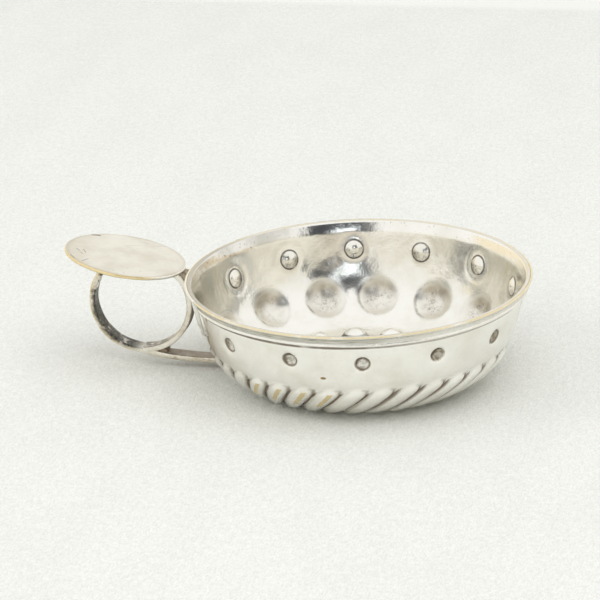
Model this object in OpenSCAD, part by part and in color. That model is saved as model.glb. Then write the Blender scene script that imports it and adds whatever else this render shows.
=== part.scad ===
// Tastevin: a shallow wine-tasting cup with a finger ring and a thumb plate.
// Millimetres, +Z up. The origin is on the bowl's axis at the table, and the handle lies along -X.

/* [Bowl] */
// Outer radius of the lip, over the rim wire
lip_r = 40; // [37:0.5:46]
// Height of the lip above the table
bowl_h = 24.4; // [22:0.2:30]
// Thickness of the sheet
sheet = 0.8; // [0.6:0.05:1]
// Lean of the wall out of the upright, in degrees
wall_lean = 15.6; // [12:0.2:19]
// Outer radius of the bend between wall and floor
bend_r = 17; // [15:0.5:18]

/* [Wall pips] */
// Places for pips round the wall; the place behind the handle stays empty
pip_places = 14; // [10:2:16]
// Depth of the pip centres below the lip
pip_drop = 6.9; // [5.5:0.1:8]
// Radius of the ball that raises a pip
pip_ball_r = 2.8; // [2.3:0.1:3.2]
// Height of a pip inside the wall
pip_rise = 1; // [0.7:0.1:1.3]

/* [Gadroons] */
// Number of gadroons on the near half
lobe_count = 16; // [10:1:16]
// Angle from one gadroon to the next
lobe_pitch = 10.3; // [9:0.1:10.5]
// Cross-section radius of a gadroon
lobe_r = 3; // [2.4:0.1:3.1]
// Height of a gadroon's crest above the bend, at its middle
lobe_rise = 0.65; // [0.5:0.05:0.9]
// Distance between the two round ends' centres
lobe_l = 6.2; // [4:0.2:7]
// Place of a gadroon's middle on the bend, degrees below the horizontal
lobe_dip = 42; // [40:0.5:46]
// Slant of a gadroon from the upright, in degrees
lobe_slant = 35; // [15:1:40]
// Lean of a gadroon's upper end out of the bend, in degrees
lobe_lean = 2; // [0:0.5:4]

/* [Cupules] */
// Number of cupules on the far half
cupule_count = 7; // [4:1:7]
// Angle from one cupule to the next
cupule_pitch = 25.7; // [22:0.1:26]
// Radius of the ball that sinks a cupule
cupule_ball_r = 6.5; // [5:0.1:7]
// Depth of a cupule below the inside of the bend
cupule_depth = 1.4; // [0.8:0.1:1.8]
// Place of a cupule on the bend, degrees below the horizontal
cupule_dip = 39; // [36:0.5:43]

/* [Floor] */
// Number of pearls round the floor
pearl_count = 14; // [8:1:16]
// Radius of the ring of pearls
pearl_ring_r = 20; // [17:0.5:20.5]
// Radius of the ball that raises a pearl
pearl_ball_r = 3.3; // [3:0.05:4.2]
// Height of a pearl above the floor
pearl_rise = 2.3; // [1:0.1:2.6]
// Turn of the floor pearls and the cupules about the axis
pattern_turn = 2.4; // [-5:0.1:5]
// Radius of the ball that raises the centre boss
boss_ball_r = 15; // [12:0.5:18]
// Height of the centre boss above the floor
boss_rise = 3; // [2:0.1:4]

/* [Rim wire] */
// Height of the wire down the wall
wire_h = 2.6; // [2.2:0.1:3.2]
// Thickness of the wire out of the wall
wire_t = 0.5; // [0.4:0.05:0.8]
// Radius of the bead at the wire's foot
bead_r = 0.4; // [0.3:0.05:0.5]
// Depth of the cove above the bead
cove_depth = 0.2; // [0.1:0.05:0.3]
// Flat left at the lip above the cove
wire_flat = 0.3; // [0.2:0.05:0.5]

/* [Wall shield] */
// Thickness of the shield
shield_t = 0.6; // [0.5:0.05:0.7]
// Half the angle that the shield covers round the wall
shield_half = 33; // [24:1:40]
// Depth of the shield's lower corners below the lip
shield_corner = 8.6; // [7:0.1:10]
// Depth of the shield's tip below the lip
shield_tip = 15.2; // [12:0.1:15.5]

/* [Finger ring] */
// Radius of the finger hole
ring_bore_r = 11.25; // [10.5:0.25:13]
// Thickness of the strap
strap_t = 1.25; // [1:0.05:1.5]
// Width of the strap
strap_w = 3.5; // [3:0.1:5]
// Bevel along the strap's edges
strap_bevel = 0.35; // [0.1:0.05:0.45]
// Clearance from the ring to the upright through the lip
ring_gap = 0.1; // [0.05:0.05:1]
// Depth of the ring's centre below the lip
ring_drop = 8.45; // [8:0.05:9]
// Height of the flattened top above the ring's centre
ring_crown = 9.7; // [9:0.1:10.2]
// Outer radius of the two bends beside the flattened top
crown_bend_r = 5; // [3:0.1:6]
// Radius of the tail's long bend, at the middle of the strap
tail_r = 80; // [60:1:120]
// Place where the tail leaves the ring, degrees outwards from the ring's lowest point
tail_leave = 14; // [12:0.5:16]
// Place where the lapped end stops, degrees outwards from the ring's lowest point
lap_stop = 0; // [-2:0.5:4]

/* [Thumb plate] */
// Length of the plate along the handle
plate_l = 29.3; // [26:0.1:30]
// Width of the plate
plate_w = 25.4; // [20:0.1:30]
// Thickness of the plate
plate_t = 0.8; // [0.6:0.05:1.2]
// Tilt of the plate, outer end up, in degrees
plate_tilt = 10.5; // [8:0.5:13]
// Distance from the ring's centre out to the plate's centre, along the plate
plate_out = 5.4; // [5:0.1:7]

/* [Solder] */
// Seam left for solder between the tail and the bowl
seam = 0.05; // [0.02:0.01:0.1]
// Narrowing of the solder on each side of the strap
solder_inset = 0.2; // [0.1:0.05:0.4]
// Depth of the lip solder's lower end below the lip
lip_solder_drop = 4.9; // [4:0.1:5.5]
// Reach of the lap solder from the ring's lowest point along the tail
lap_solder_reach = 5.8; // [5:0.1:6.5]
// Height of the tail solder up the bowl, over the strap
tail_solder_h = 1.2; // [0.8:0.1:1.6]
// Leg of the solder fillets under the plate
plate_fillet = 0.8; // [0.4:0.05:1.2]

/* [Hidden] */
$fn = 72;
// Finer facets, for thin pieces and the round shapes that they lie against
fine = 360;
silver = "#d9d4c9";
worn_silver = "#cfc7b6";
solder_grey = "#9b9282";

// Room past a face that a cutting shape reaches through
over = 1;
// Angles of the near half's middle, the far half's middle and the handle
near_side = -90;
far_side = 90;
handle_side = 180;

// The wall leaves the lip at wall_top_r and meets the bend, whose centre is at (bend_c, bend_r).
// The bend's round crosses the wall's line by bend_lap, within lap_turn degrees, so that the two always join
bend_lap = 0.002;
lap_turn = 3;
wall_top_r = lip_r - wire_t * cos(wall_lean);
bend_c = wall_top_r - (bend_r - bend_lap + sin(wall_lean) * (bowl_h - bend_r)) / cos(wall_lean);

cupule_path_r = bend_r - sheet + cupule_depth - cupule_ball_r;

cove_h = wire_h - wire_flat - 2 * bead_r;
cove_r = (pow(cove_h / 2, 2) + pow(cove_depth, 2)) / (2 * cove_depth);

// The ring's centre and radii, and the bends that flatten its top under the plate
ring_r = ring_bore_r + strap_t;
ring_mid_r = ring_bore_r + strap_t / 2;
ring_x = -(lip_r + ring_gap + ring_r);
ring_z = bowl_h - ring_drop;
crown_c_z = ring_crown - crown_bend_r;
crown_c_x = sqrt(pow(ring_r - crown_bend_r, 2) - pow(crown_c_z, 2));
crown_a = atan2(crown_c_z, crown_c_x);

// The tail is an arc that touches the ring's arc inside, about a centre far above it
tail_a = 270 - tail_leave;
tail_x = ring_x - (tail_r - ring_mid_r) * cos(tail_a);
tail_z = ring_z - (tail_r - ring_mid_r) * sin(tail_a);
tail_end_a = 270 + asin((-bend_c - tail_x) / tail_r);

// Place a child on the wall or the bend at an angle about the bowl's axis
module around(angle) {
    rotate([0, 0, angle])
        children();
}

// Pie slice of a disc, for the round stretches of the profiles
module slice(r, start, stop) {
    far = 2 * r;
    mid = (start + stop) / 2;
    intersection() {
        circle(r);
        polygon([[0, 0], far * [cos(start), sin(start)], far * [cos(mid), sin(mid)],
            far * [cos(stop), sin(stop)]]);
    }
}

// Half profile of the filled bowl, moved out of the outer face by offset_by (inwards if negative)
module bowl_profile(offset_by, top) {
    r = bend_r + offset_by;
    wall_d = r - bend_lap;
    edge_r = wall_top_r + offset_by / cos(wall_lean) + (top - bowl_h) * tan(wall_lean);
    union() {
        polygon([[0, -offset_by], [bend_c, -offset_by], [bend_c, bend_r],
            [bend_c + wall_d * cos(wall_lean), bend_r - wall_d * sin(wall_lean)], [edge_r, top], [0, top]]);
        translate([bend_c, bend_r])
            slice(r, -90, lap_turn - wall_lean);
    }
}

// Filled bowl, turned so that the revolve starts behind the handle
module bowl_fill(offset_by, top) {
    around(handle_side)
        rotate_extrude()
            bowl_profile(offset_by, top);
}

// Place a child on the bend at an angle about the axis and a dip below the horizontal, its x outwards
module on_bend(angle, dip) {
    around(angle)
        translate([bend_c, 0, bend_r])
            rotate([0, dip, 0])
                children();
}

// Bar with round ends, along z
module capsule(r, l) {
    reach = l + r;
    rotate_extrude(start = 180)
        intersection() {
            union() {
                for (end = [-1, 1])
                    translate([0, end * l / 2])
                        circle(r);
                translate([-r, -l / 2])
                    square([2 * r, l]);
            }
            translate([0, -reach])
                square([reach, 2 * reach]);
        }
}

// Gadroons: slanted bars with round ends that stand out of the bend side by side
module gadroons(r) {
    for (k = [0 : lobe_count - 1])
        on_bend(near_side + lobe_pitch * (k - (lobe_count - 1) / 2), lobe_dip)
            translate([bend_r + lobe_rise - lobe_r, 0, 0])
                rotate([-lobe_slant, 0, 0])
                    rotate([0, lobe_lean, 0])
                        capsule(r, lobe_l);
}

// Ball of a punch that strikes along +z, with its poles to the sides
module punch(r) {
    rotate([0, 90, 0])
        sphere(r);
}

// Balls that sink the cupules, struck outwards
module cupules(r) {
    for (k = [0 : cupule_count - 1])
        on_bend(far_side + pattern_turn + cupule_pitch * (k - (cupule_count - 1) / 2), cupule_dip)
            translate([cupule_path_r, 0, 0])
                rotate([0, 90, 0])
                    punch(r);
}

// Balls that raise the wall pips, struck inwards from behind the wall
module pips(r) {
    back = pip_ball_r - pip_rise - sheet;
    wall_r = wall_top_r - pip_drop * tan(wall_lean);
    for (k = [0 : pip_places - 1])
        if (k != pip_places / 2)
            around(k * 360 / pip_places)
                translate([wall_r + back * cos(wall_lean), 0, bowl_h - pip_drop - back * sin(wall_lean)])
                    rotate([90, -wall_lean, 0])
                        sphere(r);
}

// Balls that raise the pearls and the centre boss, struck upwards from below the floor
module pearls(r) {
    for (k = [0 : pearl_count - 1])
        around(pattern_turn + k * 360 / pearl_count)
            translate([pearl_ring_r, 0, sheet + pearl_rise - pearl_ball_r])
                punch(r);
}

module boss(r) {
    translate([0, 0, sheet + boss_rise - boss_ball_r])
        punch(r);
}

// Raised sheet: what is struck outwards shows outside as bumps, what is struck inwards as dimples
module bowl() {
    color(silver)
        difference() {
            union() {
                bowl_fill(0, bowl_h);
                gadroons(lobe_r);
                cupules(cupule_ball_r + sheet);
            }
            difference() {
                union() {
                    bowl_fill(-sheet, bowl_h + over);
                    gadroons(lobe_r - sheet);
                    cupules(cupule_ball_r);
                }
                pips(pip_ball_r);
                pearls(pearl_ball_r);
                boss(boss_ball_r);
            }
            pips(pip_ball_r - sheet);
            pearls(pearl_ball_r - sheet);
            boss(boss_ball_r - sheet);
        }
}

// Section of the rim wire on the wall's face: flat, cove and bead, from the lip down
module wire_section() {
    difference() {
        union() {
            translate([0, -wire_h])
                square([wire_t, wire_h]);
            translate([wire_t - bead_r / 4, bead_r - wire_h])
                circle(bead_r);
        }
        translate([wire_t + cove_r - cove_depth, -wire_flat - cove_h / 2])
            circle(cove_r);
    }
}

module rim_wire() {
    color(worn_silver)
        rotate_extrude(start = shield_half - handle_side, angle = 2 * (handle_side - shield_half))
            translate([wall_top_r, bowl_h])
                rotate(-wall_lean)
                    wire_section();
}

// Shield bent to the wall, cut to straight upright ends and a pointed lower edge
module wall_shield() {
    half_w = lip_r + over;
    corner_y = (wall_top_r - shield_corner * tan(wall_lean)) * sin(shield_half);
    reach = 2 * lip_r;
    color(silver)
        intersection() {
            rotate_extrude(start = handle_side - shield_half, angle = 2 * shield_half)
                difference() {
                    bowl_profile(shield_t, bowl_h);
                    bowl_profile(0, bowl_h);
                }
            rotate([90, 0, -90])
                linear_extrude(reach)
                    polygon([[-half_w, bowl_h], [-half_w, bowl_h - shield_corner],
                        [-corner_y, bowl_h - shield_corner], [0, bowl_h - shield_tip],
                        [corner_y, bowl_h - shield_corner], [half_w, bowl_h - shield_corner],
                        [half_w, bowl_h]]);
        }
}

// Strap section: flat strip with bevelled edges, its thickness along x
module strap_section() {
    t = strap_t / 2;
    w = strap_w / 2;
    b = strap_bevel;
    polygon([[b - t, -w], [t - b, -w], [t, b - w], [t, w - b], [t - b, w], [b - t, w], [-t, w - b], [-t, b - w]]);
}

module strap_arc(r, start, stop) {
    rotate([90, 0, 0])
        rotate_extrude(start = start, angle = stop - start)
            translate([r, 0])
                strap_section();
}

// Place a child in the ring's frame, turned so that its top lies along the plate
module at_ring() {
    translate([ring_x, 0, ring_z])
        rotate([0, plate_tilt, 0])
            children();
}

module handle_strap() {
    color(worn_silver)
        difference() {
            union() {
                at_ring() {
                    strap_arc(ring_mid_r, 180 - crown_a, tail_a + plate_tilt);
                    strap_arc(ring_mid_r, 270 - lap_stop + plate_tilt, 360 + crown_a);
                    translate([crown_c_x, 0, crown_c_z])
                        strap_arc(crown_bend_r - strap_t / 2, crown_a, 90);
                    translate([-crown_c_x, 0, crown_c_z])
                        strap_arc(crown_bend_r - strap_t / 2, 90, 180 - crown_a);
                    translate([-crown_c_x, 0, ring_crown - strap_t / 2])
                        rotate([0, 90, 0])
                            linear_extrude(2 * crown_c_x)
                                strap_section();
                }
                translate([tail_x, 0, tail_z])
                    strap_arc(tail_r, tail_a, tail_end_a);
            }
            bowl_fill(seam, bowl_h);
        }
}

module thumb_plate() {
    color(silver)
        at_ring()
            translate([-plate_out, 0, ring_crown])
                scale([plate_l / plate_w, 1, 1])
                    cylinder(h = plate_t, d = plate_w, $fn = fine);
}

// Side view of the strap's outer outline round the finger hole
module ring_outline() {
    union() {
        difference() {
            circle(ring_r);
            polygon([[0, 0], 2 * ring_r * [cos(crown_a), sin(crown_a)], [0, 3 * ring_r],
                2 * ring_r * [-cos(crown_a), sin(crown_a)]]);
        }
        for (side = [-1, 1])
            translate([side * crown_c_x, crown_c_z])
                circle(crown_bend_r);
        polygon([[0, 0], [crown_c_x, crown_c_z], [crown_c_x, ring_crown],
            [-crown_c_x, ring_crown], [-crown_c_x, crown_c_z]]);
    }
}

// Slab of solder between the strap's sides, from a side view
module solder_slab() {
    w = strap_w - 2 * solder_inset;
    rotate([90, 0, 0])
        translate([0, 0, -w / 2])
            linear_extrude(w)
                children();
}

// Corner between plate, ring and lip, filled down to a hollow lower end
module lip_solder() {
    hollow_r = ring_gap + lip_r - wall_top_r + lip_solder_drop * tan(wall_lean);
    low_z = bowl_h - lip_solder_drop;
    color(solder_grey)
        difference() {
            solder_slab()
                difference() {
                    translate([ring_x, low_z])
                        square([ring_r + lip_r, bowl_h]);
                    translate([ring_x + ring_r, low_z])
                        circle(hollow_r, $fn = fine);
                    translate([ring_x, ring_z])
                        rotate(-plate_tilt) {
                            ring_outline($fn = fine);
                            translate([-lip_r, ring_crown])
                                square([2 * lip_r, lip_r]);
                            translate([-lip_r, -lip_r])
                                square([lip_r + crown_c_x, 2 * lip_r]);
                        }
                }
            bowl_fill(shield_t, 2 * bowl_h, $fn = fine);
        }
}

// Wedge between the ring's underside and the tail, hollow at its open end
module lap_solder() {
    wedge_x = ring_x + lap_solder_reach;
    color(solder_grey)
        solder_slab()
            difference() {
                intersection() {
                    translate([ring_x, 0])
                        square([lap_solder_reach, ring_z]);
                    translate([tail_x, tail_z])
                        circle(tail_r - strap_t / 2, $fn = 2 * fine);
                }
                translate([ring_x, ring_z])
                    circle(ring_r, $fn = fine);
                translate([wedge_x, ring_z - ring_r + lap_solder_reach * sin(tail_leave)])
                    circle(strap_t / 2);
            }
}

// Wedge between the tail's upper face and the bowl
module tail_solder() {
    face_z = tail_z - tail_r + strap_t / 2;
    top_z = face_z + tail_solder_h;
    root_r = bend_c + sqrt(pow(bend_r + seam, 2) - pow(bend_r - face_z, 2));
    tip_r = bend_c + sqrt(pow(bend_r + seam, 2) - pow(bend_r - top_z, 2));
    color(solder_grey)
        difference() {
            solder_slab()
                intersection() {
                    polygon([[-bend_c, 0], [-2 * tip_r + root_r, 0], [-tip_r - seam, top_z], [-bend_c, top_z]]);
                    translate([tail_x, tail_z])
                        circle(tail_r - strap_t / 2, $fn = 2 * fine);
                }
            bowl_fill(seam, bowl_h, $fn = fine);
        }
}

// Hollow fillet on one side of the strap's flat top, under the plate
module plate_fillet_on(side) {
    at_ring()
        rotate([0, 0, side])
            translate([-crown_c_x, strap_w / 2, ring_crown])
                rotate([90, 0, 90])
                    linear_extrude(2 * crown_c_x)
                        difference() {
                            translate([0, -plate_fillet])
                                square(plate_fillet);
                            translate([plate_fillet, -plate_fillet])
                                circle(plate_fillet);
                        }
}

module plate_solder_near() {
    color(solder_grey)
        plate_fillet_on(180);
}

module plate_solder_far() {
    color(solder_grey)
        plate_fillet_on(0);
}

bowl();
rim_wire();
wall_shield();
handle_strap();
thumb_plate();
lip_solder();
lap_solder();
tail_solder();
plate_solder_near();
plate_solder_far();
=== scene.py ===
"""Dresses the tasting cup: chased silver sheet, moulded rim wire, soldered handle with a thumb plate."""

import logging
import math
from dataclasses import dataclass, field
from enum import Enum
from functools import reduce
from typing import Any, Callable, Optional, Sequence, Union

import bpy
import numpy as np
from mathutils import Matrix


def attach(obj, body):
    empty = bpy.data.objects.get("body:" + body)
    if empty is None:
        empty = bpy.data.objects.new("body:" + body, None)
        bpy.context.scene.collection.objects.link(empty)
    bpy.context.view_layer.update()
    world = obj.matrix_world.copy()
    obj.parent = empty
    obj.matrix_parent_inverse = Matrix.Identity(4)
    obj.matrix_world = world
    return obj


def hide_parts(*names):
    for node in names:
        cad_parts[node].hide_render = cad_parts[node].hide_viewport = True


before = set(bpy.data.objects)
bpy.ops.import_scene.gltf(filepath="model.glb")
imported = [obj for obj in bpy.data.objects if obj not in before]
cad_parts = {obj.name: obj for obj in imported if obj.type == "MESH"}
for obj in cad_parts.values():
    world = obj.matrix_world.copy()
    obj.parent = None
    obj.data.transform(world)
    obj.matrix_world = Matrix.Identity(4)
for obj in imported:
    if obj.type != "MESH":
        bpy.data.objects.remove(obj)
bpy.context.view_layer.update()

MM = 0.001
DEGREE = math.radians(1.0)
LOG = logging.getLogger("tasting_cup")

# Millimetres to one unit of the pieces' own UV maps
SECTION_UV = 60.0
WIRE_UV = 3.0
STRAP_UV = 100.0
PLATE_UV = 40.0

Array = np.ndarray
Material = bpy.types.Material
Thing = bpy.types.Object
Colour = tuple[float, float, float]
Point = tuple[float, float, float]
Line = tuple[float, float, float, float]
Value = Union["Sock", float, Colour]
Key = Union[str, int]


class Slot(Enum):
    """The record's material slots."""

    SILVER = "silver_plate"
    WORN = "worn_plate"
    SOLDER = "solder"


class Side(Enum):
    """The finishes of a piece with two faces, in the order of its material slots."""

    OUTSIDE = 0
    LIP = 1
    INSIDE = 2


# Shader building


def math_operator(operation: str, swapped: bool = False) -> Callable[["Sock", Value], "Sock"]:
    """Makes one of the operators of a shader's values.

    Args:
        operation: the Math node's operation.
        swapped: the other value stands on the left.

    Returns:
        The operator's method.
    """
    def method(this: "Sock", other: Value) -> "Sock":
        """Adds a Math node for the operator.

        Args:
            this: the value that the operator belongs to.
            other: the other value.

        Returns:
            The result.
        """
        return this.graph.math(operation, *((other, this) if swapped else (this, other)))

    return method


class Sock:
    """One value in a shader. Its operators add Math nodes, also with the number on the left."""

    __add__, __radd__ = math_operator("ADD"), math_operator("ADD", True)
    __sub__, __rsub__ = math_operator("SUBTRACT"), math_operator("SUBTRACT", True)
    __mul__, __rmul__ = math_operator("MULTIPLY"), math_operator("MULTIPLY", True)
    __truediv__, __rtruediv__ = math_operator("DIVIDE"), math_operator("DIVIDE", True)
    __pow__, __rpow__ = math_operator("POWER"), math_operator("POWER", True)
    __or__, __ror__ = math_operator("MAXIMUM"), math_operator("MAXIMUM", True)

    def __init__(self, graph: "Graph", socket: bpy.types.NodeSocket) -> None:
        """Wraps an output socket.

        Args:
            graph: the shader that the socket is in.
            socket: the node's output.
        """
        self.graph = graph
        self.socket = socket

    def __abs__(self) -> "Sock":
        """The value without its sign.

        Returns:
            The result.
        """
        return self.graph.math("ABSOLUTE", self)

    def rise(self, low: float, high: float) -> "Sock":
        """A smooth step from 0 at low to 1 at high, falling if high is below low.

        Args:
            low: the value that gives 0.
            high: the value that gives 1.

        Returns:
            The step, clamped to 0 and 1.
        """
        values = {"Value": self, "From Min": low, "From Max": high, "To Min": 0.0, "To Max": 1.0}
        return self.graph.add("ShaderNodeMapRange", {"interpolation_type": "SMOOTHSTEP"}, values)

    def band(self, centre: float, half: float, soft: float) -> "Sock":
        """1 within half of centre, falling smoothly to 0 over soft.

        Args:
            centre: middle of the band.
            half: half its width.
            soft: width of each fall.

        Returns:
            The band's mask.
        """
        return abs(self - centre).rise(half + soft, half)


class Graph:
    """The nodes of one material or of the world, with a method for each family of nodes.

    Attributes:
        shift_span: range of the shifts that a table of steps can hold.
    """

    shift_span = 10.0

    def __init__(self, owner: Union[Material, bpy.types.World]) -> None:
        """Empties the owner's nodes.

        Args:
            owner: the material or the world.
        """
        owner.use_nodes = True
        self.owner = owner
        self.tree = owner.node_tree
        self.tree.nodes.clear()

    @classmethod
    def paint(cls, name: str) -> "Graph":
        """Starts an empty material.

        Args:
            name: the material's name.

        Returns:
            Its nodes.
        """
        return cls(bpy.data.materials.new(name))

    def add(self, kind: str, settings: Optional[dict[str, Any]] = None,
            values: Optional[dict[Key, Optional[Value]]] = None, out: Key = 0) -> Sock:
        """Adds any node: its settings first, then its sockets' values or links.

        Args:
            kind: the node's type.
            settings: properties of the node.
            values: socket name or number to a number, colour or linked value; None leaves it alone.
            out: the output to hand back.

        Returns:
            The wanted output.
        """
        node = self.tree.nodes.new(kind)
        for key, value in (settings or {}).items():
            setattr(node, key, value)
        for key, value in (values or {}).items():
            if isinstance(value, Sock):
                self.tree.links.new(value.socket, node.inputs[key])
            elif value is not None:
                node.inputs[key].default_value = (*value, 1.0) if isinstance(value, tuple) else value
        return Sock(self, node.outputs[out])

    def close(self, surface: Sock, kind: str = "ShaderNodeOutputMaterial") -> None:
        """Links a surface to the output.

        Args:
            surface: the shader.
            kind: the output node's type.
        """
        node = self.tree.nodes.new(kind)
        self.tree.links.new(surface.socket, node.inputs["Surface"])

    def math(self, operation: str, *values: Value) -> Sock:
        """Adds a Math node.

        Args:
            operation: the node's operation.
            values: its operands.

        Returns:
            The result.
        """
        return self.add("ShaderNodeMath", {"operation": operation}, dict(enumerate(values)))

    def hypot(self, x: Sock, y: Sock) -> Sock:
        """Length of a line from its two parts.

        Args:
            x: first part.
            y: second part.

        Returns:
            The length.
        """
        return self.math("SQRT", x ** 2.0 + y ** 2.0)

    def place(self) -> Sock:
        """The point in the object's own coordinates, in metres.

        Returns:
            A vector.
        """
        return self.add("ShaderNodeTexCoord", out="Object")

    def split(self, vector: Sock) -> tuple[Sock, Sock, Sock]:
        """The three parts of a vector.

        Args:
            vector: what is split.

        Returns:
            Its x, y and z.
        """
        node = self.add("ShaderNodeSeparateXYZ", values={0: vector}).socket.node
        return tuple(Sock(self, out) for out in node.outputs)

    def flat(self) -> tuple[Sock, Sock]:
        """The piece's own UV map.

        Returns:
            Its u and v.
        """
        return self.split(self.add("ShaderNodeTexCoord", out="UV"))[:2]

    def vector(self, x: Sock, y: Sock) -> Sock:
        """A vector from two values.

        Args:
            x: first part.
            y: second part.

        Returns:
            The vector.
        """
        return self.add("ShaderNodeCombineXYZ", values={0: x, 1: y})

    def noise(self, vector: Sock, scale: float, detail: float = 3.0, rough: float = 0.55) -> Sock:
        """Noise of about 0.5 on average.

        Args:
            vector: where it is read.
            scale: cells to the unit.
            detail: octaves.
            rough: weight of the finer octaves.

        Returns:
            The noise.
        """
        values = {"Vector": vector, "Scale": scale, "Detail": detail, "Roughness": rough}
        return self.add("ShaderNodeTexNoise", None, values)

    def layers(self, colour: Value, *coats: tuple[Sock, Value]) -> Value:
        """Lays colours over one another.

        Args:
            colour: the lowest one.
            coats: mask and colour of each one above it.

        Returns:
            The mixed colour.
        """
        settings = {"data_type": "RGBA", "clamp_factor": True}
        for part, tone in coats:
            colour = self.add("ShaderNodeMix", settings, {0: part, 6: colour, 7: tone}, out=2)
        return colour

    def steps(self, x: Sock, starts: Sequence[float], shifts: Sequence[Sequence[float]]) -> tuple[Sock, Sock]:
        """Two shifts that change in steps along x, which runs from 0 to 1.

        Args:
            x: where the table is read.
            starts: where each step begins, the first at 0.
            shifts: the two shifts of each step, within half of shift_span.

        Returns:
            The two shifts.
        """
        table = self.add("ShaderNodeValToRGB", None, {0: x})
        ramp = table.socket.node.color_ramp
        ramp.interpolation = "CONSTANT"
        ramp.elements.remove(ramp.elements[-1])
        ramp.elements[0].position = 0.0
        for start, shift in zip(starts, shifts):
            step = ramp.elements.new(start) if start > 0.0 else ramp.elements[0]
            step.color = (*(0.5 + part / self.shift_span for part in shift[:2]), 0.0, 1.0)
        return tuple((part - 0.5) * self.shift_span for part in self.split(table)[:2])

    def bump(self, height: Sock, depth: float, strength: float, under: Optional[Sock] = None) -> Sock:
        """A normal bent by a height.

        Args:
            height: the height, 0 to 1.
            depth: the height's size in metres.
            strength: how much of it shows.
            under: a normal that it is laid on.

        Returns:
            The normal.
        """
        values = {"Strength": strength, "Distance": depth, "Height": height, "Normal": under}
        return self.add("ShaderNodeBump", None, values)

    def surface(self, colour: Value, rough: Value, metallic: Value = 1.0,
                normal: Optional[Sock] = None) -> Material:
        """Closes the shader as one surface.

        Args:
            colour: base colour.
            rough: roughness.
            metallic: 1 for bare metal, less for a film of dirt on it.
            normal: a bent normal.

        Returns:
            The material.
        """
        values = {"Base Color": colour, "Roughness": rough, "Metallic": metallic, "Normal": normal}
        self.close(self.add("ShaderNodeBsdfPrincipled", None, values))
        return self.owner


# Surfaces on a grid


@dataclass
class Grid:
    """A surface of two parameters, kept as rows and columns of points in millimetres.

    Attributes:
        points: rows, columns, xyz.
        uv: rows, columns (one more where the surface is closed), uv.
        closed: the columns meet, the two end rows are one point each, and the faces are turned outwards.
        finish: material number of each row of faces.
    """

    points: Array
    uv: Array
    closed: bool = True
    finish: Optional[Array] = None

    def build(self, name: str, materials: Sequence[Material], sharp: float = 40.0) -> Thing:
        """Puts the surface in the scene as one mesh object at the origin.

        Args:
            name: the object's name.
            materials: its materials, in the order of the numbers in finish.
            sharp: edges that turn by more than this many degrees stay sharp.

        Returns:
            The object.
        """
        rows, cols = self.points.shape[:2]
        number = np.arange(rows * cols).reshape(rows, cols)
        keep = np.ones((rows, cols), dtype=bool)
        if self.closed:
            number[[0, -1]] = number[[0, -1], :1]
            keep[[0, -1], 1:] = False
        number = (np.cumsum(keep) - 1)[number]
        spots = self.points[keep] * MM
        row = np.arange(rows - 1)[:, None, None] + np.array([0, 0, 1, 1])
        col = np.arange(cols if self.closed else cols - 1)[None, :, None] + np.array([0, 1, 1, 0])
        ids, uv = number[row, col % cols], self.uv[row, col]
        a, b, c = (spots[np.stack([ids[..., k], ids[..., m]]).ravel()] for k, m in ((0, 0), (1, 2), (2, 3)))
        turned = self.closed and float(np.einsum("ij,ij->", a, np.cross(b, c))) < 0.0
        order = [3, 2, 1, 0] if turned else [0, 1, 2, 3]
        tint = self.finish if self.finish is not None else np.zeros(rows - 1, dtype=int)
        top, foot = (1, rows - 2) if self.closed else (0, rows - 1)
        faces: list[list[int]] = []
        maps: list[Array] = []
        paint: list[Array] = []
        bands = (((0, 2, 3), 0, top), ((0, 1, 2, 3), top, foot), ((0, 1, 2), foot, rows - 1))
        for corners, start, end in bands:
            pick = [corner for corner in order if corner in corners]
            faces += ids[start:end][..., pick].reshape(-1, len(pick)).tolist()
            maps.append(uv[start:end][..., pick, :].reshape(-1, 2))
            paint.append(np.repeat(tint[start:end], ids.shape[1]))
        mesh = bpy.data.meshes.new(name)
        mesh.from_pydata(spots.tolist(), [], faces)
        layer = mesh.uv_layers.new(name="own")
        layer.data.foreach_set("uv", np.concatenate(maps).astype(np.float32).ravel())
        mesh.polygons.foreach_set("material_index", np.concatenate(paint).astype(np.int32))
        mesh.polygons.foreach_set("use_smooth", np.ones(len(mesh.polygons), dtype=bool))
        for material in materials:
            mesh.materials.append(material)
        mesh.update()
        mesh.set_sharp_from_angle(angle=math.radians(sharp))
        thing = bpy.data.objects.new(name, mesh)
        bpy.context.scene.collection.objects.link(thing)
        return thing


def map_uv(u: Array, v: Array) -> Array:
    """A UV grid from its columns' u and its rows' v.

    Args:
        u: one value for each column.
        v: one value for each row.

    Returns:
        rows, columns, uv.
    """
    return np.stack(np.meshgrid(u, v), axis=-1)


def even(count: int) -> Array:
    """Even values from 0 to 1.

    Args:
        count: how many.

    Returns:
        The values.
    """
    return np.linspace(0.0, 1.0, count)


def close_ends(body: Array) -> Array:
    """Adds a row at each end of a swept body, gathered at the middle of the end's outline.

    Args:
        body: rows, columns, xyz.

    Returns:
        The body with two more rows.
    """
    ends = [np.repeat(body[k].mean(axis=0)[None, None, :], body.shape[1], axis=1) for k in (0, -1)]
    return np.concatenate([ends[0], body, ends[1]])


def polar(r: Array, turn: Array, z: Array) -> Array:
    """Points from distance and angle round the axis.

    Args:
        r: distances from the axis.
        turn: angles in radians.
        z: heights.

    Returns:
        The points, with xyz last.
    """
    return np.stack([r * np.cos(turn), r * np.sin(turn), z], axis=-1)


def smooth(x: Array, low: float, high: float) -> Array:
    """A smooth step from 0 at low to 1 at high.

    Args:
        x: values.
        low: where it starts.
        high: where it ends.

    Returns:
        The step.
    """
    t = np.clip((x - low) / (high - low), 0.0, 1.0)
    return t * t * (3.0 - 2.0 * t)


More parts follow.
